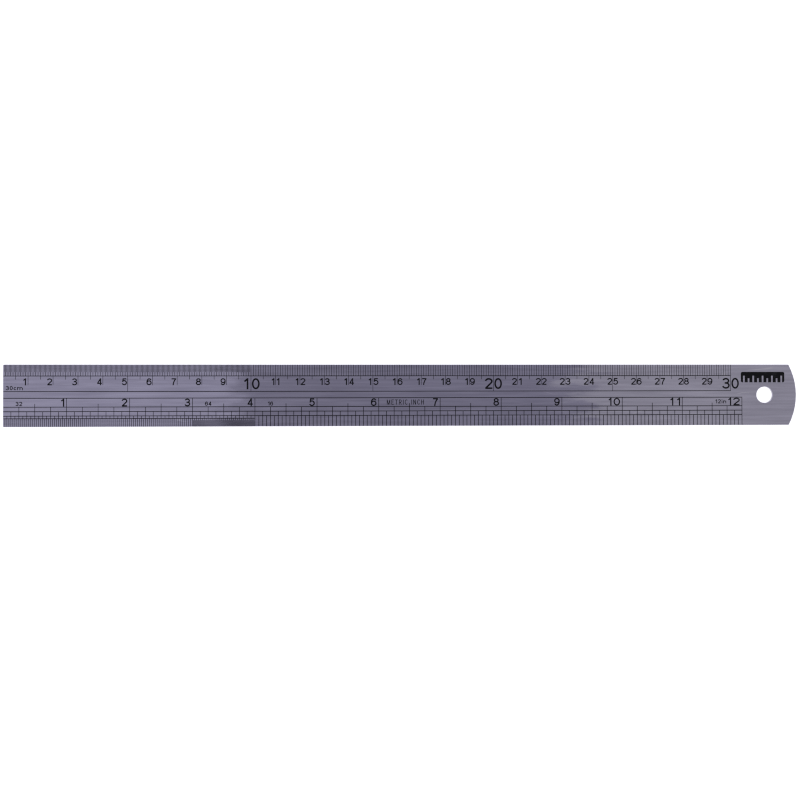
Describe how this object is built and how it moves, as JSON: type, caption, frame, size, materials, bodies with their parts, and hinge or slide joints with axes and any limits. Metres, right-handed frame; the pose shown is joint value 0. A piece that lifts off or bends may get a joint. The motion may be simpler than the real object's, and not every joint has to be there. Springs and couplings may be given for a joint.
{
  "type": "steel ruler",
  "caption": "300 mm / 12 in stainless steel rule, 25.4 mm wide, with black-filled etched metric and inch scales and a hanging hole.",
  "frame": {"origin": "where the square zero end, the centreline and the back face meet", "axes": "+X is the metric reading, along the scale towards the hanging hole, +Y towards the metric edge, +Z out of the marked face"},
  "size_m": [0.328, 0.0254, 0.001],
  "materials": {
    "steel": "fine brushed along the length",
    "black_fill": "matte black enamel in the etching"
  },
  "bodies": {
    "root": {"blade": "steel", "metric_scale_fill": "black_fill", "half_millimetre_fill": "black_fill", "metric_numeral_fill": "black_fill", "inch_scale_fill": "black_fill", "sixty_fourth_fill": "black_fill", "inch_numeral_fill": "black_fill", "range_label_fill": "black_fill", "division_label_fill": "black_fill", "unit_legend_fill": "black_fill", "emblem_fill": "black_fill"}
  },
  "joints": []
}
